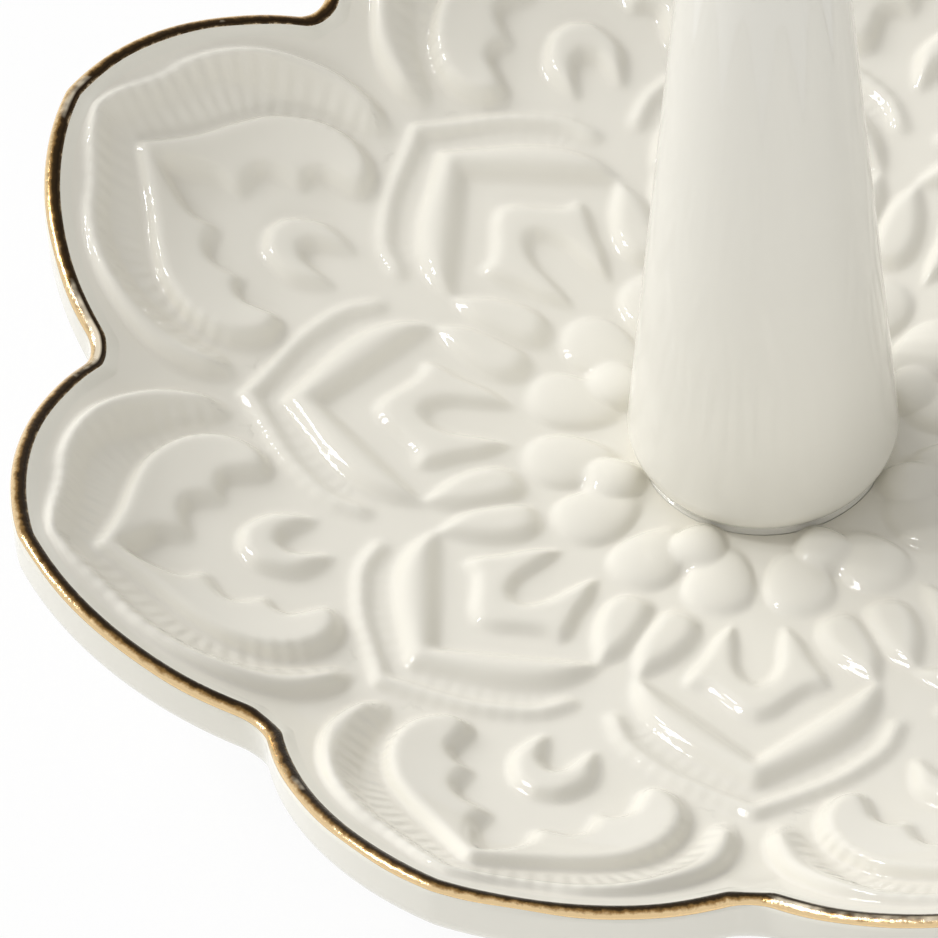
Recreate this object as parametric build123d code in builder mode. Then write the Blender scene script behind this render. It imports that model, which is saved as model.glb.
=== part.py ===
from build123d import *
from itertools import pairwise
from math import acos, asin, atan2, cos, hypot, pi, sin, sqrt
import os

# A glazed ceramic ring dish: a plate with eight petals and a raised mandala, a cone for rings
# that is bonded to its middle with slip, and a gold line fired on to its lip.
# Millimetres, +Z up, origin at the middle of the foot's resting face. A notch between two
# petals faces -Y.

# Outline of the plate: each petal is two wide arcs that meet at a slight point. The arcs have
# half the notches' radius, less an ease
petal_count = 8
petal_radius = 55.0
notch_depth = 7.2
petal_side_ease = 0.4
petal_point_radius = 1.9
notch_round = 2.8

# Bowl: a flat seat, a gentle slope for the middle of the mandala and a steeper one that starts
# a run inside the notches, with a band between them that eases the knee
foot_height = 1.6
floor_thickness = 4.4
seat_radius = 9.4
rim_run = 6.5
knee_rise = 4.9
knee_half_band = 4.0
bowl_depth = 14.4

# Lip, wall and foot
lip_drop = 5.2
lip_bevel = 0.9
wall_bevel = 1.5
foot_radius = 31.0
foot_width = 3.6

# Cone for rings
cone_height = 66.0
cone_radius = 9.7
cone_foot_radius = 7.4
cone_belly_rise = 3.3
cone_tip_radius = 4.5

# Slip bead in the undercut round the foot of the cone, and the gold on the lip
slip_reach = 1.7
slip_rise = 1.1
gold_thickness = 0.15

# Raised mandala, whose figures have flat tops that follow the bowl as facets
relief_inset = 7.5
relief_rise = 0.9
relief_root = 0.8
relief_facets_per_petal = 2
bead_radius = 2.1
bead_sides = 8
bead_bevel = 0.8
bead_ring_radius = 11.7
bead_rise = 1.6

overrun = 2.0

# Half outlines of the raised figures, as corners: share of the relief radius along the figure's
# axis, share of it across. The mirror image of the half closes the outline.
outer_band_shares = [
    (1.118, 0), (1.036, 0.172), (0.937, 0.277), (0.83, 0.307), (0.752, 0.262), (0.89, 0.232), (0.984, 0.182),
    (1.077, 0),
]
inner_band_shares = [
    (1.036, 0), (0.9415, 0.14), (0.849, 0.217), (0.76, 0.208), (0.733, 0.15), (0.81, 0.128), (0.89, 0.06),
    (1.0, 0),
]
crescent_shares = [(0.822, 0), (0.765, 0.058), (0.703, 0.038), (0.768, 0)]
long_leaf_shares = [(0.717, 0), (0.643, 0.107), (0.555, 0.172), (0.508, 0.175), (0.669, 0)]
crown_shares = [(0.577, 0), (0.54, 0.047), (0.508, 0.1), (0.39, 0.04), (0.514, 0)]
border_shares = [(0.783, 0), (0.68, 0.158), (0.585, 0.214), (0.632, 0.178), (0.757, 0)]

floor_level = foot_height + floor_thickness
lip_level = floor_level + bowl_depth
half_petal = pi / petal_count
petal_step = 360 / petal_count
notch_heading = -90
petal_heading = notch_heading + petal_step / 2
notch_radius = petal_radius - notch_depth
petal_side_radius = notch_radius / 2 - petal_side_ease
relief_radius = petal_radius - relief_inset
rim_limit = notch_radius - overrun
knee_radius = notch_radius - rim_run


def towards(centre, aim, distance):
    """The point at a distance from a centre, on the line from it through another point."""
    run = hypot(aim[0] - centre[0], aim[1] - centre[1])
    return (
        centre[0] + (aim[0] - centre[0]) * distance / run,
        centre[1] + (aim[1] - centre[1]) * distance / run,
    )


def turned(point, angle):
    """A point turned about the origin by an angle in radians."""
    return (
        point[0] * cos(angle) - point[1] * sin(angle),
        point[0] * sin(angle) + point[1] * cos(angle),
    )


def petal_side():
    """Ends and middle of one petal's side arc, for a petal along +X.

    The side arc holds the small point arc inside it and touches the notch arc from the other
    side, so its centre is where two circles round their centres meet.
    """
    point_centre = (petal_radius - petal_point_radius, 0)
    notch_centre = turned((notch_radius + notch_round, 0), half_petal)
    to_point = petal_side_radius - petal_point_radius
    to_notch = petal_side_radius + notch_round
    run_x = notch_centre[0] - point_centre[0]
    run_y = notch_centre[1]
    run = hypot(run_x, run_y)
    turn = acos((to_point**2 + run**2 - to_notch**2) / (2 * to_point * run))
    heading = atan2(run_y, run_x) + turn
    side_centre = (point_centre[0] + to_point * cos(heading), to_point * sin(heading))
    start = towards(side_centre, point_centre, petal_side_radius)
    end = towards(side_centre, notch_centre, petal_side_radius)
    between = ((start[0] + end[0]) / 2, (start[1] + end[1]) / 2)
    return start, towards(side_centre, between, petal_side_radius), end


def petal_outline():
    """The closed outline of all petals, drawn inside the BuildLine that calls it."""
    start, middle, end = petal_side()
    for index in range(petal_count):
        angle = (petal_heading + petal_step * index) * pi / 180
        ThreePointArc(
            turned((start[0], -start[1]), angle),
            turned((petal_radius, 0), angle),
            turned(start, angle),
        )
        ThreePointArc(turned(start, angle), turned(middle, angle), turned(end, angle))
        ThreePointArc(
            turned(end, angle),
            turned((notch_radius, 0), angle + half_petal),
            turned((end[0], -end[1]), angle + 2 * half_petal),
        )
        ThreePointArc(
            turned((end[0], -end[1]), angle),
            turned((middle[0], -middle[1]), angle),
            turned((start[0], -start[1]), angle),
        )


def bowl_corners(level, depth, eased=True):
    """Corners of the bowl's section, from the edge of the seat to just past the petals.

    An eased knee is cut off at the same distance from the axis on both sides of it.
    """
    gentle = knee_rise / (knee_radius - seat_radius)
    steep = (depth - knee_rise) / (petal_radius - knee_radius)
    ease = knee_half_band if eased else 0
    knee = [(knee_radius + ease, level + knee_rise + steep * ease)]
    if eased:
        knee.insert(0, (knee_radius - ease, level + knee_rise - gentle * ease))
    return [
        (seat_radius, level),
        *knee,
        (petal_radius + overrun, level + depth + steep * overrun),
    ]


def bowl_layer(low, high):
    """The section between two such bowls, standing on the XZ plane."""
    with BuildSketch(Plane.XZ) as section:
        with BuildLine():
            Polyline((0, low[0][1]), *low, *reversed(high), (0, high[0][1]), close=True)
        make_face()
    return section.sketch


def figure(shares):
    """A raised figure's outline in plan, with its axis along +X."""
    half = [(relief_radius * along, relief_radius * across) for along, across in shares]
    with BuildSketch() as outline:
        with BuildLine():
            Polyline(*half, *[(x, -y) for x, y in reversed(half[1:-1])], close=True)
        make_face()
    return outline.sketch


def on_rim(edge):
    """True for an edge on the petals' outline, from its middle's distance to the axis."""
    middle = edge.center()
    return hypot(middle.X, middle.Y) > rim_limit


def rim_cones():
    """The plate's two faces that reach the petals' outline, the under side first."""
    cones = dish.faces().filter_by(GeomType.CONE)
    return cones.filter_by(lambda face: any(map(on_rim, face.edges()))).sort_by(Axis.Z)


def bowl_height(radius):
    """Level of the gentle part of the bowl at a distance from the axis."""
    return floor_level + knee_rise * (radius - seat_radius) / (knee_radius - seat_radius)


def room_over_facets(level):
    """The room over a bowl of flat facets, for the petal and the notch that the figures are on.

    Each facet touches one slope of the bowl along a line from the middle, and cuts the room.
    """
    width = 2 * petal_radius
    with BuildPart() as room:
        with Locations((0, 0, level)):
            Box(width, width, bowl_depth + overrun, align=(Align.CENTER, Align.CENTER, Align.MIN))
        for low, high in pairwise(bowl_corners(level, bowl_depth)):
            slope = atan2(high[1] - low[1], high[0] - low[0])
            for index in range(-relief_facets_per_petal, relief_facets_per_petal + 1):
                turn = (notch_heading + petal_step * index / relief_facets_per_petal) * pi / 180
                facet = Plane(
                    origin=(low[0] * cos(turn), low[0] * sin(turn), low[1]),
                    z_dir=(-sin(slope) * cos(turn), -sin(slope) * sin(turn), cos(slope)),
                )
                split(bisect_by=facet, keep=Keep.TOP)
    return room.part


# Raised mandala, one petal's share of it: two bands and a crescent on the petal, and a leaf, a
# crown and a border on the notch beside it
root_level = floor_level - relief_root
with BuildPart() as figures:
    with BuildSketch(Plane.XY.offset(root_level)):
        for shares in (outer_band_shares, inner_band_shares, crescent_shares):
            add(figure(shares), rotation=petal_heading)
        for shares in (long_leaf_shares, crown_shares, border_shares):
            add(figure(shares), rotation=notch_heading)
    extrude(amount=lip_level + overrun - root_level)
    add(room_over_facets(root_level), mode=Mode.INTERSECT)
    add(room_over_facets(floor_level + relief_rise), mode=Mode.SUBTRACT)

# Plate: an even shell trimmed to the petals, with a bevelled lip, the mandala and a foot ring
under_depth = lip_level - lip_drop - foot_height
foot_top = foot_height + bowl_height(foot_radius) - floor_level + floor_thickness / 2
bead_height = bowl_height(bead_ring_radius) + bead_rise - root_level
with BuildPart() as dish:
    under_side = bowl_corners(foot_height, under_depth, eased=False)
    add(bowl_layer(under_side, bowl_corners(floor_level, bowl_depth)))
    revolve(axis=Axis.Z)
    with BuildSketch():
        with BuildLine():
            petal_outline()
        make_face()
    extrude(amount=lip_level + overrun, mode=Mode.INTERSECT)
    chamfer(rim_cones()[0].edges().filter_by(on_rim), length=wall_bevel)
    chamfer(rim_cones()[-1].edges().filter_by(on_rim), length=lip_bevel)
    lip_edges = rim_cones()[-1].edges().filter_by(on_rim)
    lip_faces = dish.faces().filter_by(
        lambda face: face.geom_type != GeomType.CONE
        and any(edge in lip_edges for edge in face.edges())
    )
    with PolarLocations(0, petal_count):
        add(figures.part)
    with BuildSketch(Plane.XY.offset(root_level)):
        with PolarLocations(bead_ring_radius, petal_count, start_angle=petal_heading):
            RegularPolygon(bead_radius, bead_sides)
    extrude(amount=bead_height)
    bead_top = root_level + bead_height
    chamfer(dish.edges().filter_by_position(Axis.Z, bead_top, bead_top), length=bead_bevel)
    with BuildSketch(Plane.XZ):
        with BuildLine():
            Polyline(
                (foot_radius - foot_width, foot_top),
                (foot_radius - foot_width, 0),
                (foot_radius, 0),
                (foot_radius, foot_top),
                close=True,
            )
        make_face()
    revolve(axis=Axis.Z)

# Gold line: a thin skin on the bevel of the lip
with BuildPart() as gold_rim:
    thicken(lip_faces, amount=gold_thickness)

# Cone for rings: an oval belly drawn as two tapers, then a side that runs straight from its
# widest level to touch the round tip
belly_level = floor_level + cone_belly_rise
belly_height = cone_belly_rise / sqrt(1 - (cone_foot_radius / cone_radius) ** 2)
belly_turn = acos(cone_foot_radius / cone_radius) / 2
belly_middle = (cone_radius * cos(belly_turn), belly_level - belly_height * sin(belly_turn))
tip_level = floor_level + cone_height - cone_tip_radius
tip_run = tip_level - belly_level
side_heading = atan2(tip_run, -cone_radius) - asin(cone_tip_radius / hypot(tip_run, cone_radius))
side_lean = side_heading - pi / 2
tip_turn = side_lean + (pi / 2 - side_lean) / 3
cap_turn = side_lean + (pi / 2 - side_lean) * 2 / 3
with BuildPart() as ring_cone:
    with BuildSketch(Plane.XZ):
        with BuildLine():
            Polyline(
                (0, floor_level),
                (cone_foot_radius, floor_level),
                belly_middle,
                (cone_radius, belly_level),
                *[
                    (cone_tip_radius * cos(turn), tip_level + cone_tip_radius * sin(turn))
                    for turn in (side_lean, tip_turn, cap_turn)
                ],
                (0, tip_level + cone_tip_radius),
                close=True,
            )
        make_face()
    revolve(axis=Axis.Z)

# Slip bead: fills the undercut between the cone's lower taper and the seat
slip_share = slip_rise / (belly_middle[1] - floor_level)
with BuildPart() as slip_joint:
    with BuildSketch(Plane.XZ):
        with BuildLine():
            Polyline(
                (cone_foot_radius, floor_level),
                (cone_foot_radius + slip_reach, floor_level),
                (
                    cone_foot_radius + (belly_middle[0] - cone_foot_radius) * slip_share,
                    floor_level + slip_rise,
                ),
                close=True,
            )
        make_face()
    revolve(axis=Axis.Z)

os.makedirs("parts", exist_ok=True)
for piece, name in (
    (dish, "dish"),
    (gold_rim, "gold_rim"),
    (ring_cone, "ring_cone"),
    (slip_joint, "slip_joint"),
):
    piece.part.label = name
    export_step(piece.part, "parts/" + name + ".step")
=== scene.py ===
"""The looks of a glazed ceramic ring dish with eight petals, a raised mandala and a gold lip.

Lengths are in millimetres until a mesh is made. A petal's own frame has its first share along
the petal's axis and its second across it; a notch's frame is the same about the notch.
"""

import bpy
import numpy as np
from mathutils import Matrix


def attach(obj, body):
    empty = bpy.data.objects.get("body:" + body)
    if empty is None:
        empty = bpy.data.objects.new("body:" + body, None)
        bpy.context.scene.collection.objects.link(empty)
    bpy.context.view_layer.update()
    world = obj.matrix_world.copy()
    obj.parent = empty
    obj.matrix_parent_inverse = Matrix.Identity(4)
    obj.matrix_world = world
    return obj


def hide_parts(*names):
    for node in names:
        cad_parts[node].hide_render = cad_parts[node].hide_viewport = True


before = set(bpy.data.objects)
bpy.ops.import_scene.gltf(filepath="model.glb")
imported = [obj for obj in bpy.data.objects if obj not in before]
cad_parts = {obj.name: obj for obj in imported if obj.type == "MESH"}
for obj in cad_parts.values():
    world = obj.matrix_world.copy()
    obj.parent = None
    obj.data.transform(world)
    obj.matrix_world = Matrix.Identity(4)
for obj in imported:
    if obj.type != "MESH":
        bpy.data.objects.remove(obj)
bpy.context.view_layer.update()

MM = 0.001
PETALS = 8
NOTCH_HEADING = -np.pi / 2
HALF_PETAL = np.pi / PETALS

# Plate outline: the same arcs as the solid, a hair inside it
PETAL_RADIUS = 54.9
NOTCH_RADIUS = 47.7
SIDE_RADIUS = 23.4
POINT_RADIUS = 1.8
NOTCH_ROUND = 2.9

# Section of the bowl: radius and height of its smooth line, seat first
BOWL_RADII = (0.0, 9.4, 15.0, 26.0, 32.0, 37.3, 42.75, 47.8, 50.35, 53.15, 55.0, 58.0)
BOWL_HEIGHTS = (6.0, 6.02, 6.5, 8.3, 9.15, 10.1, 12.1, 15.3, 16.9, 18.85, 20.1, 22.2)

# Grid of the plate's top: columns all round, rows from the seat to the seam and on to the rim
COLUMNS = 960
MIDDLE_ROWS = 93
PETAL_ROWS = 94
SEAT_RADIUS = 9.0
SEAM_RADIUS = 29.0

# Edges of the raised figures. A band's crest runs through its first places, and the places of
# its inner edge begin one after them.
RELIEF_RADIUS = 47.5
EDGE_GROWTH = 0.35
EDGE_POWER = 2.4
CREST_PLACES = 8
LEAN_REACH = 4.5
INNER_SLOPE = 2.0
INNER_SLOPE_POWER = 0.8
HOLLOW_DEPTH = 0.8
HOLLOW_RADIUS = 0.75

# How much the pressed clay and the glaze soften the figures, in passes of softened()
MIDDLE_SOFTENING = 5
PETAL_SOFTENING = 2
SOFTENING_RUN = 9
# Spread of the painted shade that darkens the glaze in the hollows, in passes of softened()
SHADE_SOFTENING = 14
RIM_FADE = 0.8

# Fine teeth beside the outer band and, fainter, beside the border
COMB_PITCH = 1.2
COMB_AWAY = 0.9
COMB_SPREAD = 0.75
COMB_END_RUN = 2.5
COMB_JUMP = 0.6
COMB_SOFTENING = 3
BAND_COMB = 1
BORDER_COMB = 0.35

# Dish of each petal and the droop of the front
PETAL_CUP = 1.0
CUP_START = 37.0
CUP_POWER = 1.4
FRONT_DROP = 1.0
FRONT_HEADING = np.radians(-74)
FRONT_SPREAD = np.radians(26)
SETTLING_HEIGHT = 8

# Raised figures: each list holds strokes, and a stroke is a smooth line through its places,
# given as shares of the relief radius. The mirror image of the strokes closes the figure.
OUTER_BAND = (
    ((1.118, 0.0), (1.06, 0.109), (1.033, 0.175), (0.992, 0.232), (0.937, 0.277), (0.875, 0.303),
     (0.83, 0.307), (0.785, 0.296), (0.756, 0.275), (0.752, 0.258), (0.768, 0.246), (0.83, 0.243),
     (0.89, 0.232), (0.957, 0.207), (1.003, 0.16), (1.036, 0.09), (1.077, 0.0)),
)
INNER_BAND = (
    ((1.036, 0.0), (0.98, 0.078), (0.9415, 0.14), (0.903, 0.186), (0.849, 0.217), (0.80, 0.222),
     (0.76, 0.208), (0.736, 0.18), (0.733, 0.155), (0.741, 0.14), (0.768, 0.141), (0.797, 0.142),
     (0.81, 0.128), (0.8185, 0.102)),
    ((0.8185, 0.102), (0.843, 0.1045), (0.872, 0.0985), (0.886, 0.075), (0.8915, 0.041)),
    ((0.8915, 0.041), (0.9415, 0.037), (0.978, 0.018), (1.0, 0.0)),
)
CRESCENT = (
    ((0.822, 0.0), (0.808, 0.035), (0.765, 0.058), (0.73, 0.052), (0.703, 0.038)),
    ((0.703, 0.038), (0.735, 0.028), (0.757, 0.019), (0.768, 0.0)),
)
CROWN = (
    ((0.577, 0.0), (0.566, 0.022), (0.54, 0.047), (0.517, 0.073), (0.508, 0.1)),
    ((0.508, 0.1), (0.485, 0.092), (0.455, 0.075), (0.417, 0.06), (0.39, 0.04)),
    ((0.39, 0.04), (0.425, 0.036), (0.47, 0.034), (0.502, 0.02), (0.514, 0.0)),
)
LONG_LEAF = (
    ((0.717, 0.0), (0.68, 0.053), (0.643, 0.107), (0.60, 0.15), (0.555, 0.172), (0.508, 0.175)),
    ((0.508, 0.175), (0.59, 0.085), (0.669, 0.0)),
)
BORDER = (
    ((0.783, 0.0), (0.75, 0.053), (0.717, 0.11), (0.68, 0.158), (0.637, 0.196), (0.585, 0.214)),
    ((0.585, 0.214), (0.588, 0.198), (0.632, 0.18), (0.67, 0.143), (0.703, 0.1), (0.757, 0.0)),
)
SHORT_LEAF = (
    ((0.497, 0.172), (0.45, 0.176), (0.40, 0.158), (0.365, 0.137), (0.362, 0.115), (0.38, 0.093),
     (0.415, 0.095), (0.46, 0.125), (0.497, 0.172)),
)
SHORT_LEAF_WIDTH = 1.4
SHORT_LEAF_RISE = 0.75

# A figure's strokes, whether it lies about the notch, the width of its rounded edge, its rise
# and the share of the rise that it loses away from its crest
FIGURES = (
    (OUTER_BAND, False, 1.3, 1.45, 0.50),
    (INNER_BAND, False, 1.2, 1.35, 0.35),
    (CRESCENT, False, 1.1, 0.9, 0),
    (CROWN, True, 1.0, 0.65, 0),
    (LONG_LEAF, True, 1.7, 0.95, 0),
    (BORDER, True, 1.4, 0.7, 0),
)

# Middles of the hollows, as shares of the relief radius
HOLLOWS = ((0.80, 0.115), (0.862, 0.08), (0.928, 0.026))

# Centre radius, half length, half width and rise of a bead and of a scale
BEAD = (11.35, 2.3, 2.2, 1.3)
SCALE = (13.9, 3.3, 2.45, 0.8)
EGG_TAPER = 0.25


# Shapes

def smooth_line(places, steps=10):
    """A smooth line through places.

    Each span is a cubic, whose slope at a place is half the run between the place's neighbours.
    """
    p = np.array(places, float)
    p = np.vstack([2 * p[0] - p[1], p, 2 * p[-1] - p[-2]])
    t = np.linspace(0, 1, steps, endpoint=False)[:, None]
    a, b, c, d = (p[k : len(p) - 3 + k, None] for k in range(4))
    line = 0.5 * (2 * b + (c - a) * t + (2 * a - 5 * b + 4 * c - d) * t**2
                  + (3 * b - a - 3 * c + d) * t**3)
    return np.vstack([line.reshape(-1, p.shape[1]), p[-2]])


def closed_outline(strokes, mirrored=True):
    """Strokes end to end, then their mirror image backwards, in millimetres."""
    half = np.vstack([smooth_line(stroke)[:-1] for stroke in strokes] + [strokes[-1][-1:]])
    if mirrored:
        half = np.vstack([half[::-1] * (1, -1), half[1:-1]])
    return half * RELIEF_RADIUS


def inside_depth(along, across, closed_line):
    """Distance from each place to a closed line, positive inside.

    The distance is the least to any side, and the sign comes from how many sides a ray crosses.
    """
    place = np.stack([along.ravel(), across.ravel()], axis=1)
    start = closed_line
    side = np.roll(closed_line, -1, axis=0) - start
    length = np.maximum((side**2).sum(1), 1e-9)
    away = place[:, None] - start
    share = np.clip((away * side).sum(2) / length, 0, 1)
    least = np.sqrt(((away - share[..., None] * side) ** 2).sum(2)).min(1)
    above = start[:, 1] > place[:, None, 1]
    crossing = above != np.roll(above, -1, axis=1)
    reach = start[:, 0] + side[:, 0] * (place[:, None, 1] - start[:, 1]) / np.where(
        side[:, 1] == 0, 1e-9, side[:, 1])
    odd = (crossing & (place[:, None, 0] < reach)).sum(1) % 2 == 1
    return np.where(odd, least, -least).reshape(along.shape)


def round_edge(depth, width, rise):
    """A pad's height: nothing outside, then a rounded edge up to its full rise.

    The edge falls short of the rise by a power of what is left of its width.
    """
    share = np.clip((depth + EDGE_GROWTH) / width, 0, 1)
    return rise * (1 - (1 - share) ** EDGE_POWER)


def bowl_height(radius):
    """Height of the bowl's smooth section at a distance from the axis."""
    line = smooth_line(np.stack([BOWL_RADII, BOWL_HEIGHTS], axis=1), steps=24)
    return np.interp(radius, line[:, 0], line[:, 1])


def outline_radius(turn):
    """Radius of the plate's outline at a turn from a petal's axis.

    It is where the turn's ray meets one of three arcs that touch: the small one of the petal's
    point, the wide one of its side, and the notch's, which is met on its near side.
    """
    point = PETAL_RADIUS - POINT_RADIUS
    notch = (NOTCH_RADIUS + NOTCH_ROUND) * np.array([np.cos(HALF_PETAL), np.sin(HALF_PETAL)])
    run = notch - (point, 0)
    distance = np.hypot(*run)
    inner = SIDE_RADIUS - POINT_RADIUS
    outer = SIDE_RADIUS + NOTCH_ROUND
    lean = np.arccos((inner**2 + distance**2 - outer**2) / (2 * inner * distance))
    heading = np.arctan2(run[1], run[0]) + lean
    side = np.array([point + inner * np.cos(heading), inner * np.sin(heading)])
    ray = np.stack([np.cos(turn), np.sin(turn)], axis=-1)

    def hit(centre, radius, sign):
        """Distance along each ray to a circle, on its far or near side."""
        middle = ray @ centre
        off = np.maximum(radius**2 - (centre @ centre - middle**2), 0)
        return middle + sign * np.sqrt(off)

    to_point = np.array([point, 0.0]) - side
    to_notch = notch - side
    start = side + to_point / np.hypot(*to_point) * SIDE_RADIUS
    end = side + to_notch / np.hypot(*to_notch) * SIDE_RADIUS
    first = np.arctan2(start[1], start[0])
    last = np.arctan2(end[1], end[0])
    by_side = hit(side, SIDE_RADIUS, 1)
    by_point = hit(np.array([point, 0.0]), POINT_RADIUS, 1)
    by_notch = hit(notch, NOTCH_ROUND, -1)
    return np.where(turn < first, by_point, np.where(turn > last, by_notch, by_side))


def nearest_run(line, place):
    """Distance from each place to a line, and how far along the line its nearest point lies."""
    start, side = line[:-1], np.diff(line, axis=0)
    length = np.hypot(*side.T)
    before = np.concatenate([[0], np.cumsum(length)[:-1]])
    away = np.stack([place[0].ravel(), place[1].ravel()], axis=1)[:, None] - start
    share = np.clip((away * side).sum(2) / length**2, 0, 1)
    gap = np.sqrt(((away - share[..., None] * side) ** 2).sum(2))
    nearest = gap.argmin(1)
    rows = np.arange(len(nearest))
    along = before[nearest] + share[rows, nearest] * length[nearest]
    return gap[rows, nearest].reshape(place[0].shape), along.reshape(place[0].shape)


def egg(along, across, centre, length, width, rise):
    """Height of half an egg: a round that falls off with the oval distance from its centre."""
    lead = (along - centre) / length
    reach = lead**2 + (across / (width * (1 + EGG_TAPER * lead))) ** 2
    return rise * np.sqrt(np.maximum(1 - reach, 0))


def relief(radius, turn):
    """Height of the mandala over the bowl, on half a petal.

    Every figure is a pad with rounded edges, a bead or a scale. Where they meet, the highest
    counts. The two bands have their crest at the outer edge and lean down from it, the outer
    one also slopes up from its inner edge, and a small hollow lies inside each of the inner
    band's scallops, as deep as a bell curve of the distance from its middle.
    """
    petal = radius * np.cos(turn), radius * np.sin(turn)
    notch = radius * np.cos(HALF_PETAL - turn), radius * np.sin(HALF_PETAL - turn)
    height = np.zeros_like(radius)
    for strokes, at_notch, width, rise, lean in FIGURES:
        place = notch if at_notch else petal
        depth = inside_depth(*place, closed_outline(strokes))
        pad = round_edge(depth, width, rise)
        if lean:
            crest = smooth_line(strokes[0][:CREST_PLACES], steps=6) * RELIEF_RADIUS
            pad *= 1 - lean * np.clip(nearest_run(crest, place)[0] / LEAN_REACH, 0, 1)
        if strokes is OUTER_BAND:
            inner = smooth_line(strokes[0][CREST_PLACES + 1 :], steps=8) * RELIEF_RADIUS
            slope = np.clip(nearest_run(inner, place)[0] / INNER_SLOPE, 0, 1)
            pad *= slope**INNER_SLOPE_POWER
        height = np.maximum(height, pad)
    for along, across in HOLLOWS:
        away = np.hypot(petal[0] - along * RELIEF_RADIUS, petal[1] - across * RELIEF_RADIUS)
        height -= HOLLOW_DEPTH * np.exp(-(away / HOLLOW_RADIUS) ** 2)
    depth = inside_depth(*notch, closed_outline(SHORT_LEAF, mirrored=False))
    height = np.maximum(height, round_edge(depth, SHORT_LEAF_WIDTH, SHORT_LEAF_RISE))
    height = np.maximum(height, egg(*petal, *BEAD))
    scale_turn = np.abs(turn - HALF_PETAL / 2)
    scale = radius * np.cos(scale_turn), radius * np.sin(scale_turn)
    return np.maximum(height, egg(*scale, *SCALE))


def comb(radius, turn):
    """Where the fine teeth lie: run along the band's or border's inner edge, and how strong.

    The run is the length along the nearest edge line. The strength is a bell curve of the
    distance from that edge, highest a little way off it, and fades at the line's ends. It is
    nothing where the run jumps from one part of the line to another.
    """
    petal = radius * np.cos(turn), radius * np.sin(turn)
    notch = radius * np.cos(HALF_PETAL - turn), radius * np.sin(HALF_PETAL - turn)
    run = np.zeros_like(radius)
    strength = np.zeros_like(radius)
    band_edge = OUTER_BAND[0][CREST_PLACES + 1 :]
    for stroke, place, depth in ((band_edge, petal, BAND_COMB), (BORDER[1], notch, BORDER_COMB)):
        line = smooth_line(stroke, steps=8) * RELIEF_RADIUS
        least, along = nearest_run(line, place)
        whole = np.hypot(*np.diff(line, axis=0).T).sum()
        ends = np.clip(np.minimum(along, whole - along) / COMB_END_RUN, 0, 1)
        here = depth * np.exp(-((least - COMB_AWAY) / COMB_SPREAD) ** 2) * ends
        run = np.where(here > strength, along, run)
        strength = np.maximum(strength, here)
    jump = np.maximum(*(np.abs(np.gradient(run, axis=axis)) for axis in (0, 1)))
    return run, softened(np.where(jump > COMB_JUMP, 0, strength), COMB_SOFTENING)


def softened(field, passes):
    """The field averaged with its neighbours, across and then along, as often as is asked.

    Each average takes a quarter of each neighbour and half of the place itself.
    """
    for _ in range(passes):
        wide = np.pad(field, ((0, 0), (1, 1)), mode="reflect")
        field = (wide[:, :-2] + 2 * wide[:, 1:-1] + wide[:, 2:]) / 4
        wide = np.pad(field, ((1, 1), (0, 0)), mode="edge")
        field = (wide[:-2] + 2 * wide[1:-1] + wide[2:]) / 4
    return field


def whole_turn(half):
    """Half a petal's columns, mirrored over the petal's axis and repeated round the plate's."""
    per_petal = COLUMNS // PETALS
    column = np.arange(COLUMNS) % per_petal
    return half[:, np.minimum(column, per_petal - column)]


def rings_at(radius, height):
    """Points of rings from radii and heights, one row to a ring."""
    heading = NOTCH_HEADING + HALF_PETAL + np.arange(COLUMNS) * 2 * np.pi / COLUMNS
    return np.stack([radius * np.cos(heading), radius * np.sin(heading),
                     np.broadcast_to(height, radius.shape)], axis=-1)


def ring_mesh(name, points, wrapped, custom_normals=None):
    """Mesh of rings joined by quads.

    Wrapped rings join the last to the first, and others are closed at both ends by a fan round
    the end ring's middle.
    """
    rows, columns = points.shape[:2]
    number = np.arange(rows * columns).reshape(rows, columns)
    upper = np.roll(number, -1, axis=0) if wrapped else number[1:]
    lower = number if wrapped else number[:-1]
    quads = np.stack([lower, upper, np.roll(upper, -1, 1), np.roll(lower, -1, 1)], -1)
    quads = quads.reshape(-1, 4)
    places = points.reshape(-1, 3)
    loops = quads.ravel()
    totals = np.full(len(quads), 4)
    if not wrapped:
        middles = points[[0, -1]].mean(1)
        places = np.vstack([places, middles])
        first, last = number[0], number[-1]
        first_fan = np.stack([first, np.roll(first, -1), np.full(columns, len(places) - 2)], -1)
        last_fan = np.stack([np.roll(last, -1), last, np.full(columns, len(places) - 1)], -1)
        loops = np.concatenate([loops, first_fan.ravel(), last_fan.ravel()])
        totals = np.concatenate([totals, np.full(2 * columns, 3)])
    mesh = bpy.data.meshes.new(name)
    mesh.vertices.add(len(places))
    mesh.vertices.foreach_set("co", (places * MM).ravel())
    mesh.loops.add(len(loops))
    mesh.loops.foreach_set("vertex_index", loops)
    mesh.polygons.add(len(totals))
    mesh.polygons.foreach_set("loop_start", np.concatenate([[0], np.cumsum(totals)[:-1]]))
    mesh.update(calc_edges=True)
    mesh.validate()
    mesh.shade_smooth()
    if custom_normals is not None:
        mesh.normals_split_custom_set_from_vertices(custom_normals.reshape(-1, 3))
    piece = bpy.data.objects.new(name, mesh)
    bpy.context.collection.objects.link(piece)
    return piece


# Plate: one skin of rings from the seat, over the lip and down to the foot

LIP_ROUND = 0.62
UNDER_ROUND = 2.5
FLUSH_INSET = 2.0

# Slabs of the top: their thickness, and how many rows lie between the rings of their under side
SKIN = 1.5
SKIN_STEP = 17

# Floor of the body below the slabs: its depth under the bowl and its rings
SUNK = 2.2
BODY_RADII = (6.0, 12.0, 18.0, 24.0, 30.0, 36.0, 40.0)

# Section of the under side: radius and height of its smooth line, and of its flat middle
UNDER_RADII = (0.0, 9.4, 25.0, 37.0, 42.0, 47.8, 55.0, 58.0)
UNDER_HEIGHTS = (1.6, 1.62, 3.95, 5.9, 7.1, 10.7, 15.2, 17.1)
UNDER_FLAT = 1.6

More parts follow.
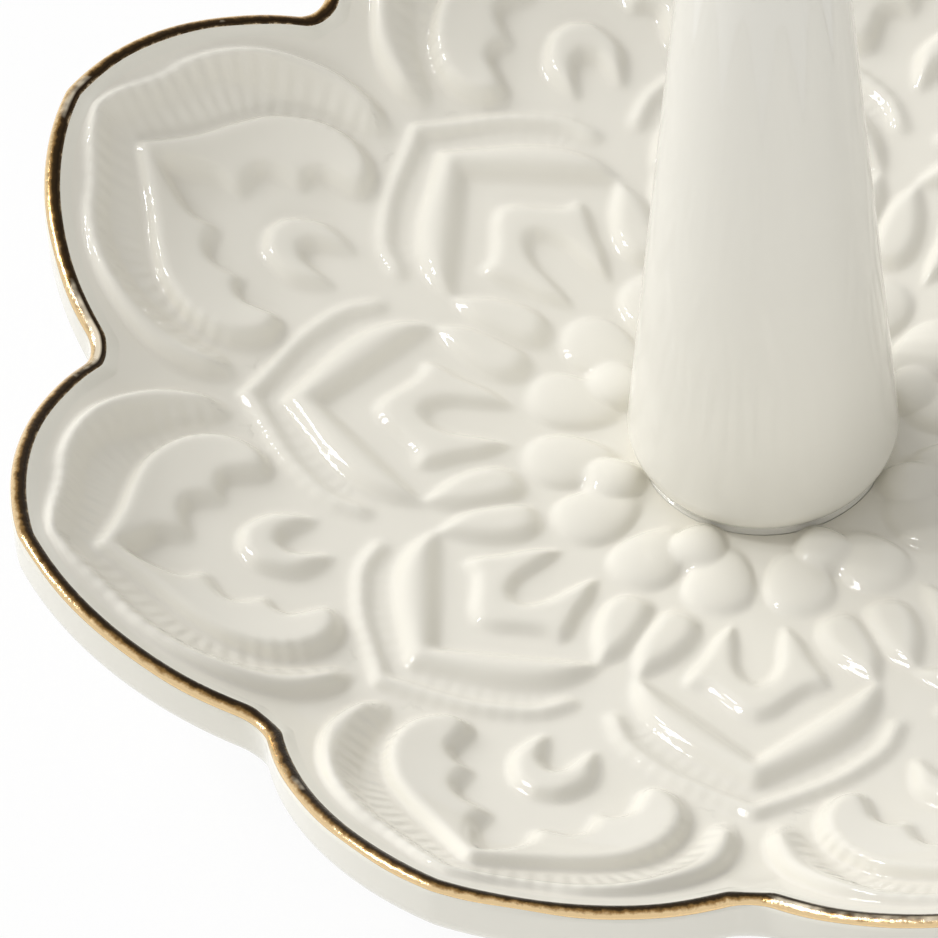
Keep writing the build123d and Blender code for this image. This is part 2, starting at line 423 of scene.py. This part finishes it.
# Foot ring: its faces, the round of its edges, and the bend where it meets the under side
FOOT_OUTER = 31.0
FOOT_INNER = 27.4
FOOT_EDGE = 0.5
FOOT_ROUND = 0.15
FOOT_BEND = 0.12
FOOT_RUNOUT = 0.05


def under_height(radius):
    """Height of the under side's smooth section at a distance from the axis."""
    line = smooth_line(np.stack([UNDER_RADII, UNDER_HEIGHTS], axis=1), steps=24)
    return np.interp(radius, line[:, 0], line[:, 1])


def slope_of(height, radius):
    """Slope angle of a section where it crosses the plate's outline."""
    step = 0.05
    return np.arctan2(height(radius + step) - height(radius - step), 2 * step)


# Turn of each column of half a petal from its axis, the outline's radius there, and how much
# farther a run along the radius is than the same run square to the outline
half_turns = np.linspace(0, HALF_PETAL, COLUMNS // PETALS // 2 + 1)
half_outline = outline_radius(half_turns)
half_skew = np.sqrt(1 + (np.gradient(half_outline, half_turns) / half_outline) ** 2)
half_skew[[0, -1]] = 1
outline = whole_turn(half_outline[None])[0]
skew = whole_turn(half_skew[None])[0]

# Slopes where the bowl and the under side reach the outline, the levels of the middles of the
# rounds that end them there, and the length of the lip's round
lip_slope = slope_of(bowl_height, outline)
lip_centre = (bowl_height(outline) - LIP_ROUND * np.tan(lip_slope)
              - LIP_ROUND / np.cos(lip_slope))
under_slope = slope_of(under_height, outline)
under_centre = (under_height(outline) - UNDER_ROUND * np.tan(under_slope)
                + UNDER_ROUND / np.cos(under_slope))
lip_length = LIP_ROUND * (np.pi / 2 + lip_slope)


def lip_place(run, lift):
    """Radius and height on the lip at a run from where its round starts.

    Before the round the section follows the bowl's slope, then it turns by the run over the
    round's radius, and past the wall's top it goes straight down.
    """
    turn = np.pi / 2 + lip_slope - np.clip(run, 0, lip_length) / LIP_ROUND
    before = np.minimum(run, 0)
    after = np.maximum(run - lip_length, 0)
    inset = -LIP_ROUND + (LIP_ROUND + lift) * np.cos(turn) + before * np.cos(lip_slope)
    height = lip_centre + (LIP_ROUND + lift) * np.sin(turn) + before * np.sin(lip_slope) - after
    return outline + inset * skew, height


def top_rings():
    """Rings of the plate's top from the seat to where the lip starts, and marks for its glaze.

    The mandala stands on the bowl, softened more in the middle than on the petals, and fades
    out at the rim. Its painted shade darkens the places that lie below what is round them and
    lightens those that lie above.
    """
    middle = np.linspace(SEAT_RADIUS, SEAM_RADIUS, MIDDLE_ROWS)[:, None] + 0 * half_turns
    edge = half_outline - FLUSH_INSET * half_skew
    share = np.linspace(0, 1, PETAL_ROWS + 1)[1:, None]
    petals = SEAM_RADIUS + share * (edge - SEAM_RADIUS)
    radius = np.vstack([middle, petals])
    turn = half_turns + 0 * radius
    figures = relief(radius, turn)
    outer = np.clip((radius - SEAM_RADIUS) / SOFTENING_RUN, 0, 1)
    raised = (softened(figures, MIDDLE_SOFTENING) * (1 - outer)
              + softened(figures, PETAL_SOFTENING) * outer)
    raised *= np.clip((edge - radius) / RIM_FADE, 0, 1)
    # Painted shade: how far each place lies below its softened surround. It darkens the glaze in
    # the hollows and lightens it on the crests.
    painted_shade = softened(raised, SHADE_SOFTENING) - raised
    raised -= cup(radius, half_turns, edge)
    run, strength = comb(radius, turn)
    marks = {"painted_shade": painted_shade, "comb_run": run, "comb_strength": strength}
    marks = {name: whole_turn(field) for name, field in marks.items()}
    radius, raised = whole_turn(radius), whole_turn(raised)
    return rings_at(radius, bowl_height(radius) + raised), marks


def lip_and_wall_rings():
    """Rings over the lip's round, down the wall and round its lower edge, and the last radius."""
    rings = []
    start = -(FLUSH_INSET - LIP_ROUND * (1 + np.sin(lip_slope))) / np.cos(lip_slope)
    for part in (0.5, 0.85):
        rings.append(rings_at(*lip_place(start * (1 - part), 0)))
    for part in np.linspace(0, 1, 13):
        rings.append(rings_at(*lip_place(lip_length * part, 0)))
    for part in (0.3, 0.65, 1.0):
        rings.append(rings_at(outline, lip_centre + (under_centre - lip_centre) * part))
    for part in np.linspace(0, 1, 10)[1:]:
        turn = -(np.pi / 2 - under_slope) * part
        radius = outline + UNDER_ROUND * (np.cos(turn) - 1) * skew
        rings.append(rings_at(radius, under_centre + UNDER_ROUND * np.sin(turn)))
    return np.stack(rings), radius


def under_rings(outer):
    """Rings from an outer radius in over the under side, the foot ring and the flat middle."""
    rings = []
    for part in np.linspace(0, 1, 14)[1:]:
        radius = outer + (FOOT_OUTER + FOOT_EDGE - outer) * part
        rings.append(rings_at(radius, under_height(radius)))
    top = under_height(FOOT_OUTER)
    inner_top = under_height(FOOT_INNER)
    for radius, height in (
        (FOOT_OUTER + FOOT_BEND, top - FOOT_BEND),
        (FOOT_OUTER, top - FOOT_EDGE),
        (FOOT_OUTER, FOOT_EDGE),
        (FOOT_OUTER - FOOT_ROUND, FOOT_ROUND),
        (FOOT_OUTER - FOOT_EDGE, 0.0),
        (FOOT_INNER + FOOT_EDGE, 0.0),
        (FOOT_INNER + FOOT_ROUND, FOOT_ROUND),
        (FOOT_INNER, FOOT_EDGE),
        (FOOT_INNER, inner_top - FOOT_EDGE),
        (FOOT_INNER - FOOT_BEND, inner_top - FOOT_BEND),
        (FOOT_INNER - FOOT_EDGE, inner_top - FOOT_RUNOUT),
        (20.0, under_height(20.0)),
        (14.0, under_height(14.0)),
        (8.0, UNDER_FLAT),
        (2.0, UNDER_FLAT),
    ):
        rings.append(rings_at(np.full(COLUMNS, radius), height))
    return np.stack(rings)


def plate_rings():
    """All rings of the plate's skin from the seat round to the under side's middle, and marks."""
    top, marks = top_rings()
    wall, inner = lip_and_wall_rings()
    return settled(np.vstack([top, wall, under_rings(inner)])), marks


def cup(radius, turn, edge):
    """How far each petal is dished below the bowl, none at its edge and in the middle.

    A squared sine of the place between the cup's start and the edge, times a squared cosine
    across the petal.
    """
    place = np.clip((radius - CUP_START) / (edge - CUP_START), 0, 1) ** CUP_POWER
    return PETAL_CUP * np.sin(np.pi * place) ** 2 * np.cos(turn * np.pi / 2 / HALF_PETAL) ** 2


def settled(points):
    """The rings with the front of the plate sunk a little, as it settled in the kiln.

    The drop grows with the square of the radius and falls off as a bell curve with the heading.
    The foot stays on the table: the drop comes in with the height over it.
    """
    reach = np.hypot(points[..., 0], points[..., 1])
    heading = np.arctan2(points[..., 1], points[..., 0])
    away = np.angle(np.exp(1j * (heading - FRONT_HEADING)))
    drop = FRONT_DROP * (reach / PETAL_RADIUS) ** 2 * np.exp(-(away / FRONT_SPREAD) ** 2)
    share = np.clip(points[..., 2] / SETTLING_HEIGHT, 0, 1)
    return points - np.stack([0 * drop, 0 * drop, drop * share], axis=-1)


def ring_normals(points):
    """Normals of rings of points: the cross product of the runs along and across the rings."""
    along = np.gradient(points, axis=0)
    across = np.roll(points, -1, 1) - np.roll(points, 1, 1)
    normal = np.cross(along, across)
    return normal / np.maximum(np.linalg.norm(normal, axis=-1, keepdims=True), 1e-12)


def add_attribute(piece, name, values):
    """Writes one number per vertex, with zero for any closing vertex."""
    field = np.zeros(len(piece.data.vertices), np.float32)
    field[: values.size] = values.ravel()
    piece.data.attributes.new(name, "FLOAT", "POINT").data.foreach_set("value", field)


def top_slab(name, top, normals):
    """A closed slab of the plate's top, whose under side is the same surface let down."""
    under = np.vstack([top[:0:-SKIN_STEP], top[:1]])
    under[..., 2] -= SKIN
    down = np.zeros_like(under) - (0, 0, 1)
    return ring_mesh(name, np.vstack([top, under]), True, np.vstack([normals, down]))


def body_piece(rings, normals):
    """The rest of the plate: lip, wall and under side, closed by a floor below the slabs."""
    edge = np.hypot(rings[0, :, 0], rings[0, :, 1])
    radii = [np.full(COLUMNS, radius) for radius in BODY_RADII] + [edge - SKIN]
    floor = settled(np.stack([rings_at(radius, bowl_height(radius) - SUNK) for radius in radii]))
    up = np.zeros_like(floor) + (0, 0, 1)
    ends = np.array([[0, 0, 1.0], [0, 0, -1.0]])
    all_normals = np.vstack([up, normals]).reshape(-1, 3)
    return ring_mesh("dish_body", np.vstack([floor, rings]), False, np.vstack([all_normals, ends]))


def plate_pieces():
    """The plate as three closed pieces that share their edge rings: middle, petals and body."""
    rings, marks = plate_rings()
    normals = ring_normals(rings)
    last = MIDDLE_ROWS + PETAL_ROWS
    skins = {"mandala_middle": slice(0, MIDDLE_ROWS),
             "mandala_petals": slice(MIDDLE_ROWS - 1, last)}
    pieces = []
    for name, rows in skins.items():
        piece = top_slab(name, rings[rows], normals[rows])
        for mark, values in marks.items():
            add_attribute(piece, mark, values[rows])
        pieces.append(piece)
    return [*pieces, body_piece(rings[last - 1 :], normals[last - 1 :])]


# Gold line: a thin band on the lip's round whose edges wander a little

# Heights over the glaze: how far the face stands above its edges, the edges and the back. A
# taper of 6 means that each edge takes a sixth of the width to reach the full height.
GOLD_LIFT = 0.035
GOLD_CLEAR = 0.004
GOLD_BACK = -0.06
GOLD_TAPER = 6

# Run that the band starts before the lip's round, and the share of the round where it ends
GOLD_INWARD = 0.3
GOLD_OUTWARD = 0.7
INNER_WANDER = 0.04
OUTER_WANDER = 0.06
WAVES = 14
WAVE_COUNTS = (5, 60)


def wander(turn, seed, size):
    """A slow uneven line round the rim.

    It is a sum of sines with random counts and phases, each divided by the root of its count.
    """
    random = np.random.default_rng(seed)
    counts = random.integers(*WAVE_COUNTS, WAVES)
    phases = random.uniform(0, 2 * np.pi, WAVES)
    line = np.sin(np.outer(turn, counts) + phases) / np.sqrt(counts)
    return size * line.sum(1)


def gold_band():
    """Rings across the band's face and back again just under the glaze.

    The band starts a little inward of the lip's round and ends on its outer side. Its
    thickness rises straight from both edges.
    """
    turn = np.arange(COLUMNS) * 2 * np.pi / COLUMNS
    start = wander(turn, 3, INNER_WANDER) - GOLD_INWARD
    end = GOLD_OUTWARD * lip_length + wander(turn, 8, OUTER_WANDER)
    face = [(part, GOLD_LIFT * min(1, GOLD_TAPER * min(part, 1 - part)) + GOLD_CLEAR)
            for part in np.linspace(0, 1, 15)]
    back = [(part, GOLD_BACK) for part in np.linspace(1, 0, 6)]
    rings = [rings_at(*lip_place(start + (end - start) * part, lift)) for part, lift in face + back]
    across = [np.full(COLUMNS, part) for part, _ in face + back]
    piece = ring_mesh("gold_line", settled(np.stack(rings)), True)
    add_attribute(piece, "across", np.array(across))
    return piece


# Cone and slip

FLOOR = 6.0
CONE_RADIUS = 9.68
CONE_FOOT = 8.3
BELLY_RISE = 2.5
TIP_RADIUS = 4.5
CONE_TOP = 72.0
CONE_WAVER = 0.003

# The last ring under the foot, whose middle is closed, and its depth below the seat
FOOT_MIDDLE = 2.0
FOOT_SUNK = 0.1

ROUND_COLUMNS = 256
BELLY_ROWS = 22
SIDE_ROWS = 30
TIP_ROWS = 18

# Slip: its outer radius and how far it comes in and up, then its hidden base and middle
SLIP_REACH = 8.9
SLIP_LEAN = 0.5
SLIP_RISE = 0.6
SLIP_CLEAR = 0.02
SLIP_BASE = 8.95
SLIP_SUNK = 0.15
SLIP_MIDDLE = 3.0
SLIP_WAVER = 0.006


def turned_mesh(name, radii, heights, uneven=0.0):
    """A profile turned about the axis.

    The radius wavers a little: a sine of twice the turn, which twists slowly with the height,
    and a weaker one of three times the turn.
    """
    turn = np.arange(ROUND_COLUMNS) * 2 * np.pi / ROUND_COLUMNS
    radii = np.array(radii)[:, None]
    heights = np.array(heights)[:, None]
    twice = np.sin(2 * turn + 0.7 + heights * 0.05)
    thrice = np.sin(3 * turn + 2.1)
    radius = radii * (1 + uneven * (twice + 0.6 * thrice) / 2)
    points = np.stack([radius * np.cos(turn), radius * np.sin(turn),
                       heights + 0 * turn], axis=-1)
    return ring_mesh(name, points, False)


def cone_piece():
    """Foot, oval belly, a side that leans in straight and a round tip.

    The side's lean is that of the line that touches both the belly and the tip.
    """
    belly = FLOOR + BELLY_RISE
    oval = BELLY_RISE / np.sqrt(1 - (CONE_FOOT / CONE_RADIUS) ** 2)
    tip = CONE_TOP - TIP_RADIUS
    run = tip - belly
    heading = np.arctan2(run, -CONE_RADIUS) - np.arcsin(TIP_RADIUS / np.hypot(run, CONE_RADIUS))
    lean = heading - np.pi / 2
    low_start = -np.arcsin(BELLY_RISE / oval)
    low_end = np.arctan(oval / CONE_RADIUS * np.tan(lean))
    low = np.linspace(low_start, low_end, BELLY_ROWS)
    high = np.linspace(lean, np.pi / 2, TIP_ROWS)[:-1]
    side_start = (CONE_RADIUS * np.cos(low[-1]), belly + oval * np.sin(low[-1]))
    side_end = (TIP_RADIUS * np.cos(lean), tip + TIP_RADIUS * np.sin(lean))
    side = np.linspace(side_start, side_end, SIDE_ROWS)[1:-1]
    radii = [FOOT_MIDDLE, CONE_FOOT, *CONE_RADIUS * np.cos(low)[1:], *side[:, 0],
             *TIP_RADIUS * np.cos(high)]
    heights = [FLOOR - FOOT_SUNK, FLOOR, *(belly + oval * np.sin(low))[1:], *side[:, 1],
               *(tip + TIP_RADIUS * np.sin(high))]
    return turned_mesh("ring_post", radii[::-1], heights[::-1], CONE_WAVER)


def slip_piece():
    """Glaze and slip in the undercut: a hollow curve from the seat up to the belly.

    It comes in evenly, and it rises with the square of how far it has come.
    """
    share = np.linspace(0, 1, 9)
    reach = SLIP_REACH - SLIP_LEAN * share
    rise = FLOOR + SLIP_CLEAR + SLIP_RISE * share**2
    radii = [SLIP_MIDDLE, *(reach[::-1]), SLIP_BASE, SLIP_MIDDLE]
    heights = [FLOOR + SLIP_RISE, *(rise[::-1]), FLOOR - SLIP_SUNK, FLOOR - SLIP_SUNK]
    return turned_mesh("slip_fillet", radii, heights, SLIP_WAVER)


# Finishes, with painted shade in the glaze and painted reflections on the gold

# Specks in the glaze: how high a cell's number has to be, and how near its middle they end
SPECK_RARITY = 0.985
SPECK_SIZE = 0.05
SPECK_COLOUR = (0.16, 0.12, 0.09, 1)

# Tone of the glaze: shares of the broad noise and of the painted shade, less the noise's own
# middle
TONE_DRIFT = 0.5
TONE_START = 0.25
SHADE_SHARE = 0.9

TOOTH_HEIGHT = 0.00003
GOLD_GRAIN = 0.45
BLACK = (0, 0, 0)
WHITE = (1, 1, 1)


def node(tree, kind, **settings):
    """A new shader node with its settings, where a key that is a socket sets its value."""
    made = tree.nodes.new(kind)
    for key, value in settings.items():
        if hasattr(made, key):
            setattr(made, key, value)
        else:
            made.inputs[key.replace("_", " ")].default_value = value
    return made


def maths(tree, operation, number=None):
    """A Math node, with a number in its second socket where one is given."""
    made = node(tree, "ShaderNodeMath", operation=operation)
    if number is not None:
        made.inputs[1].default_value = number
    return made


def colour_ramp(tree, stops):
    """A colour ramp from positions and colours."""
    ramp = tree.nodes.new("ShaderNodeValToRGB")
    while len(ramp.color_ramp.elements) < len(stops):
        ramp.color_ramp.elements.new(0.5)
    for element, (place, colour) in zip(ramp.color_ramp.elements, stops):
        element.position = place
        element.color = (*colour, 1)
    return ramp


def new_material(name):
    """An empty material with its Principled shader wired to the output."""
    material = bpy.data.materials.new(name)
    material.use_nodes = True
    tree = material.node_tree
    return material, tree, tree.nodes["Principled BSDF"]


def fired_surface_group():
    """Tone and small swells of a fired glaze.

    The tone runs from the light to the deep colour with a broad noise and the painted shade,
    which darkens the hollows and lightens the crests. A dark speck is the middle of a cell that
    drew a high number, and the height is a finer noise.
    """
    group = bpy.data.node_groups.new("fired_surface", "ShaderNodeTree")
    for name, kind in (("Light", "NodeSocketColor"), ("Deep", "NodeSocketColor"),
                       ("PaintedShade", "NodeSocketFloat"), ("Speck", "NodeSocketColor")):
        group.interface.new_socket(name, in_out="INPUT", socket_type=kind)
    group.interface.new_socket("Color", in_out="OUTPUT", socket_type="NodeSocketColor")
    group.interface.new_socket("Height", in_out="OUTPUT", socket_type="NodeSocketFloat")
    start = group.nodes.new("NodeGroupInput")
    end = group.nodes.new("NodeGroupOutput")
    place = node(group, "ShaderNodeTexCoord")
    drift = node(group, "ShaderNodeTexNoise", Scale=55.0, Detail=3.0)
    swell = node(group, "ShaderNodeTexNoise", Scale=260.0, Detail=1.5)
    speck = node(group, "ShaderNodeTexVoronoi", Scale=170.0)
    chosen = maths(group, "GREATER_THAN", SPECK_RARITY)
    near = maths(group, "LESS_THAN", SPECK_SIZE)
    both = maths(group, "MULTIPLY")
    split = node(group, "ShaderNodeSeparateColor")
    toned = maths(group, "MULTIPLY_ADD", TONE_DRIFT)
    depth = maths(group, "SUBTRACT", TONE_START)
    depth.use_clamp = True
    mix = node(group, "ShaderNodeMix", data_type="RGBA")
    dotted = node(group, "ShaderNodeMix", data_type="RGBA")
    link = group.links.new
    for texture in (drift, swell, speck):
        link(place.outputs["Object"], texture.inputs["Vector"])
    link(drift.outputs["Fac"], toned.inputs[0])
    link(start.outputs["PaintedShade"], toned.inputs[2])
    link(toned.outputs[0], depth.inputs[0])
    link(depth.outputs[0], mix.inputs["Factor"])
    link(start.outputs["Light"], mix.inputs["A"])
    link(start.outputs["Deep"], mix.inputs["B"])
    link(speck.outputs["Color"], split.inputs[0])
    link(split.outputs["Red"], chosen.inputs[0])
    link(speck.outputs["Distance"], near.inputs[0])
    link(chosen.outputs[0], both.inputs[0])
    link(near.outputs[0], both.inputs[1])
    link(both.outputs[0], dotted.inputs["Factor"])
    link(mix.outputs["Result"], dotted.inputs["A"])
    link(start.outputs["Speck"], dotted.inputs["B"])
    link(dotted.outputs["Result"], end.inputs["Color"])
    link(swell.outputs["Fac"], end.inputs["Height"])
    return group


def tooth_bump(tree, under):
    """Bump of the fine teeth over another bump: a sine of the comb's run times its strength."""
    run = node(tree, "ShaderNodeAttribute", attribute_name="comb_run")
    strength = node(tree, "ShaderNodeAttribute", attribute_name="comb_strength")
    pitch = maths(tree, "MULTIPLY", 2 * np.pi / COMB_PITCH)
    wave = maths(tree, "SINE")
    tooth = maths(tree, "MULTIPLY")
    bump = node(tree, "ShaderNodeBump", Strength=1.0, Distance=TOOTH_HEIGHT)
    link = tree.links.new
    link(run.outputs["Fac"], pitch.inputs[0])
    link(pitch.outputs[0], wave.inputs[0])
    link(wave.outputs[0], tooth.inputs[0])
    link(strength.outputs["Fac"], tooth.inputs[1])
    link(tooth.outputs[0], bump.inputs["Height"])
    link(under.outputs["Normal"], bump.inputs["Normal"])
    return bump


def glaze(name, light, deep, roughness, group, on_mandala):
    """Ivory glaze: one glossy surface with the fired tone and its small swells.

    A glaze on the mandala also reads the marks of the plate's top, so its colour deepens in
    the hollows and pales on the crests as painted shade, and it carries the fine teeth.
    """
    material, tree, shader = new_material(name)
    surface = node(tree, "ShaderNodeGroup", node_tree=group)
    surface.inputs["Light"].default_value = (*light, 1)
    surface.inputs["Deep"].default_value = (*deep, 1)
    surface.inputs["Speck"].default_value = SPECK_COLOUR
    bump = node(tree, "ShaderNodeBump", Strength=0.12, Distance=0.0002)
    link = tree.links.new
    link(surface.outputs["Color"], shader.inputs["Base Color"])
    link(surface.outputs["Height"], bump.inputs["Height"])
    if on_mandala:
        # Painted shade from the plate's marks darkens the hollows and lightens the crests
        painted_shade = node(tree, "ShaderNodeAttribute", attribute_name="painted_shade")
        scaled = maths(tree, "MULTIPLY", SHADE_SHARE)
        link(painted_shade.outputs["Fac"], scaled.inputs[0])
        link(scaled.outputs[0], surface.inputs["PaintedShade"])
        bump = tooth_bump(tree, bump)
    link(bump.outputs["Normal"], shader.inputs["Normal"])
    shader.inputs["Roughness"].default_value = roughness
    return material


def gold_with_painted_reflections():
    """Fired gold lustre: a dark line with a pale inner edge and a gold outer one.

    The dark line is a painted reflection of dark surroundings, and the gold outer edge is
    lightened into a painted highlight. The colour follows the place across the band, roughened
    by a fine noise, and where a broad noise is high the top of the band turns to a pale streak of
    painted highlight.
    """
    material, tree, shader = new_material("gold_lustre")
    across = node(tree, "ShaderNodeAttribute", attribute_name="across")
    place = node(tree, "ShaderNodeTexCoord")
    fine = node(tree, "ShaderNodeTexNoise", Scale=1500.0, Detail=4.0, Roughness=0.7)
    broad = node(tree, "ShaderNodeTexNoise", Scale=60.0, Detail=5.0, Roughness=0.7)
    drift = maths(tree, "MULTIPLY_ADD", GOLD_GRAIN)
    # Colour across the band: a pale inner edge, a dark core painted as the reflection of dark
    # surroundings, and a gold outer edge lightened into a painted highlight
    profile = colour_ramp(tree, (
        (0.20, (0.50, 0.40, 0.27)),
        (0.28, (0.07, 0.044, 0.020)),
        (0.44, (0.022, 0.014, 0.008)),
        (0.70, (0.050, 0.030, 0.013)),
        (0.84, (0.33, 0.19, 0.065)),
        (1.0, (0.92, 0.68, 0.38)),
    ))
    # Painted highlight: pale streaks on the band's top where the broad noise is high
    painted_highlight_patches = colour_ramp(tree, ((0.55, BLACK), (0.63, WHITE)))
    ridge = colour_ramp(tree, ((0.28, BLACK), (0.42, WHITE), (0.62, WHITE), (0.74, BLACK)))
    painted_highlight = maths(tree, "MULTIPLY")
    mix = node(tree, "ShaderNodeMix", data_type="RGBA")
    # Colour of the painted highlight
    mix.inputs["B"].default_value = (0.98, 0.86, 0.66, 1)
    rough = node(tree, "ShaderNodeMapRange")
    rough.inputs["To Min"].default_value = 0.08
    rough.inputs["To Max"].default_value = 0.30
    bump = node(tree, "ShaderNodeBump", Strength=0.6, Distance=0.0001)
    link = tree.links.new
    for texture in (fine, broad):
        link(place.outputs["Object"], texture.inputs["Vector"])
    link(fine.outputs["Fac"], drift.inputs[0])
    link(across.outputs["Fac"], drift.inputs[2])
    link(drift.outputs[0], profile.inputs["Fac"])
    link(broad.outputs["Fac"], painted_highlight_patches.inputs["Fac"])
    link(across.outputs["Fac"], ridge.inputs["Fac"])
    link(painted_highlight_patches.outputs["Color"], painted_highlight.inputs[0])
    link(ridge.outputs["Color"], painted_highlight.inputs[1])
    link(painted_highlight.outputs[0], mix.inputs["Factor"])
    link(profile.outputs["Color"], mix.inputs["A"])
    link(mix.outputs["Result"], shader.inputs["Base Color"])
    link(fine.outputs["Fac"], rough.inputs["Value"])
    link(rough.outputs["Result"], shader.inputs["Roughness"])
    link(fine.outputs["Fac"], bump.inputs["Height"])
    link(bump.outputs["Normal"], shader.inputs["Normal"])
    shader.inputs["Metallic"].default_value = 1.0
    return material


fired_surface = fired_surface_group()
plate_glaze = glaze("plate_glaze", (0.875, 0.85, 0.768), (0.79, 0.748, 0.66), 0.055,
                    fired_surface, on_mandala=True)
body_glaze = glaze("body_glaze", (0.86, 0.842, 0.76), (0.80, 0.78, 0.69), 0.055,
                   fired_surface, on_mandala=False)
cone_glaze = glaze("cone_glaze", (0.88, 0.865, 0.80), (0.83, 0.81, 0.74), 0.05,
                   fired_surface, on_mandala=False)

plate = plate_pieces()
for piece, material in zip(plate, (plate_glaze, plate_glaze, body_glaze)):
    piece.data.materials.append(material)
    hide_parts("dish")
    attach(piece, "root")

band = gold_band()
band.data.materials.append(gold_with_painted_reflections())
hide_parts("gold_rim")
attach(band, "root")

post = cone_piece()
post.data.materials.append(cone_glaze)
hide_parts("ring_cone")
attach(post, "root")

fillet = slip_piece()
fillet.data.materials.append(cone_glaze)
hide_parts("slip_joint")
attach(fillet, "root")


# Table, light and camera

TABLE_HALF = 4.0
TABLE_WHITENESS = 0.92
AIM = (0, 0, 0.01)


def seen_rays(tree):
    """One for the rays that see a thing directly, in a reflection or through glass."""
    paths = node(tree, "ShaderNodeLightPath")
    seen = maths(tree, "MAXIMUM")
    clear = maths(tree, "MAXIMUM")
    tree.links.new(paths.outputs["Is Camera Ray"], seen.inputs[0])
    tree.links.new(paths.outputs["Is Glossy Ray"], seen.inputs[1])
    tree.links.new(seen.outputs[0], clear.inputs[0])
    tree.links.new(paths.outputs["Is Transmission Ray"], clear.inputs[1])
    return clear.outputs[0]


def table():
    """A wide pale table top that shows almost white and keeps the dish's shadow."""
    mesh = bpy.data.meshes.new("table_top")
    corners = [(TABLE_HALF * x, TABLE_HALF * y, 0) for x, y in ((-1, -1), (1, -1), (1, 1), (-1, 1))]
    mesh.from_pydata(corners, [], [(0, 1, 2, 3)])
    top = bpy.data.objects.new("table_top", mesh)
    bpy.context.collection.objects.link(top)
    material, tree, shader = new_material("table_white")
    shader.inputs["Base Color"].default_value = (0.9, 0.9, 0.9, 1)
    shader.inputs["Roughness"].default_value = 0.7
    part = maths(tree, "MULTIPLY", TABLE_WHITENESS)
    white = node(tree, "ShaderNodeEmission", Strength=1.0)
    mix = node(tree, "ShaderNodeMixShader")
    tree.links.new(seen_rays(tree), part.inputs[0])
    tree.links.new(part.outputs[0], mix.inputs["Fac"])
    tree.links.new(shader.outputs[0], mix.inputs[1])
    tree.links.new(white.outputs[0], mix.inputs[2])
    tree.links.new(mix.outputs[0], tree.nodes["Material Output"].inputs["Surface"])
    mesh.materials.append(material)


def daylight(strength):
    """An even pale world, seen as white."""
    world = bpy.data.worlds.new("studio")
    bpy.context.scene.world = world
    world.use_nodes = True
    tree = world.node_tree
    soft = tree.nodes["Background"]
    soft.inputs["Color"].default_value = (1.0, 0.985, 0.96, 1)
    soft.inputs["Strength"].default_value = strength
    white = node(tree, "ShaderNodeBackground", Strength=1.0)
    mix = node(tree, "ShaderNodeMixShader")
    tree.links.new(seen_rays(tree), mix.inputs["Fac"])
    tree.links.new(soft.outputs[0], mix.inputs[1])
    tree.links.new(white.outputs[0], mix.inputs[2])
    tree.links.new(mix.outputs[0], tree.nodes["World Output"].inputs["Surface"])


def direction(azimuth, elevation):
    """Unit vector from the dish towards an azimuth and elevation in degrees."""
    turn, rise = np.radians([azimuth, elevation])
    return np.array([np.cos(rise) * np.cos(turn), np.cos(rise) * np.sin(turn), np.sin(rise)])


def look_angles(back):
    """Turns about X, Y and Z of an object that looks along the reverse of a direction, upright."""
    return (np.arccos(back[2]), 0, np.arctan2(back[1], back[0]) + np.pi / 2)


def lamp(name, azimuth, elevation, distance, size, power, mirrored=True):
    """A rectangular lamp that faces the dish, and shows in its gloss if it is mirrored.

    It stands at an azimuth and elevation in degrees and a distance in metres, with its size in
    metres and its power in watts.
    """
    back = direction(azimuth, elevation)
    data = bpy.data.lights.new(name, "AREA")
    data.shape = "RECTANGLE"
    data.size, data.size_y = size
    data.energy = power
    made = bpy.data.objects.new(name, data)
    bpy.context.collection.objects.link(made)
    made.location = back * distance + AIM
    made.rotation_euler = look_angles(back)
    made.visible_glossy = mirrored


def camera():
    """The photograph's view: from above the -Y notch, close in, the axis right of the middle."""
    frame_pixels = 938
    focal_pixels = 7158
    axis_x = 763.0
    axis_y = 402.4
    distance = 0.5095
    back = direction(-90 + 0.95, 49.16)
    data = bpy.data.cameras.new("camera")
    data.sensor_width = 36
    data.lens = focal_pixels / frame_pixels * data.sensor_width
    data.shift_x = (frame_pixels / 2 - axis_x) / frame_pixels
    data.shift_y = (axis_y - frame_pixels / 2) / frame_pixels
    data.clip_start = 0.01
    made = bpy.data.objects.new("camera", data)
    bpy.context.collection.objects.link(made)
    made.location = back * distance + AIM
    made.rotation_euler = look_angles(back)
    bpy.context.scene.camera = made


table()
daylight(strength=0.46)
lamp("strip_left", 178, 50, 1.0, (0.045, 0.22), 1.05)
lamp("strip_right", 171, 49, 1.0, (0.045, 0.22), 1.05)
lamp("strip_far", 158, 47, 1.2, (0.035, 0.16), 0.6)
lamp("back_wash", 144, 28, 1.5, (1.4, 0.8), 13.5, mirrored=False)
lamp("front_fill", -80, 6, 1.2, (0.8, 0.3), 2.6, mirrored=False)
camera()
bpy.context.scene.view_settings.view_transform = "Standard"
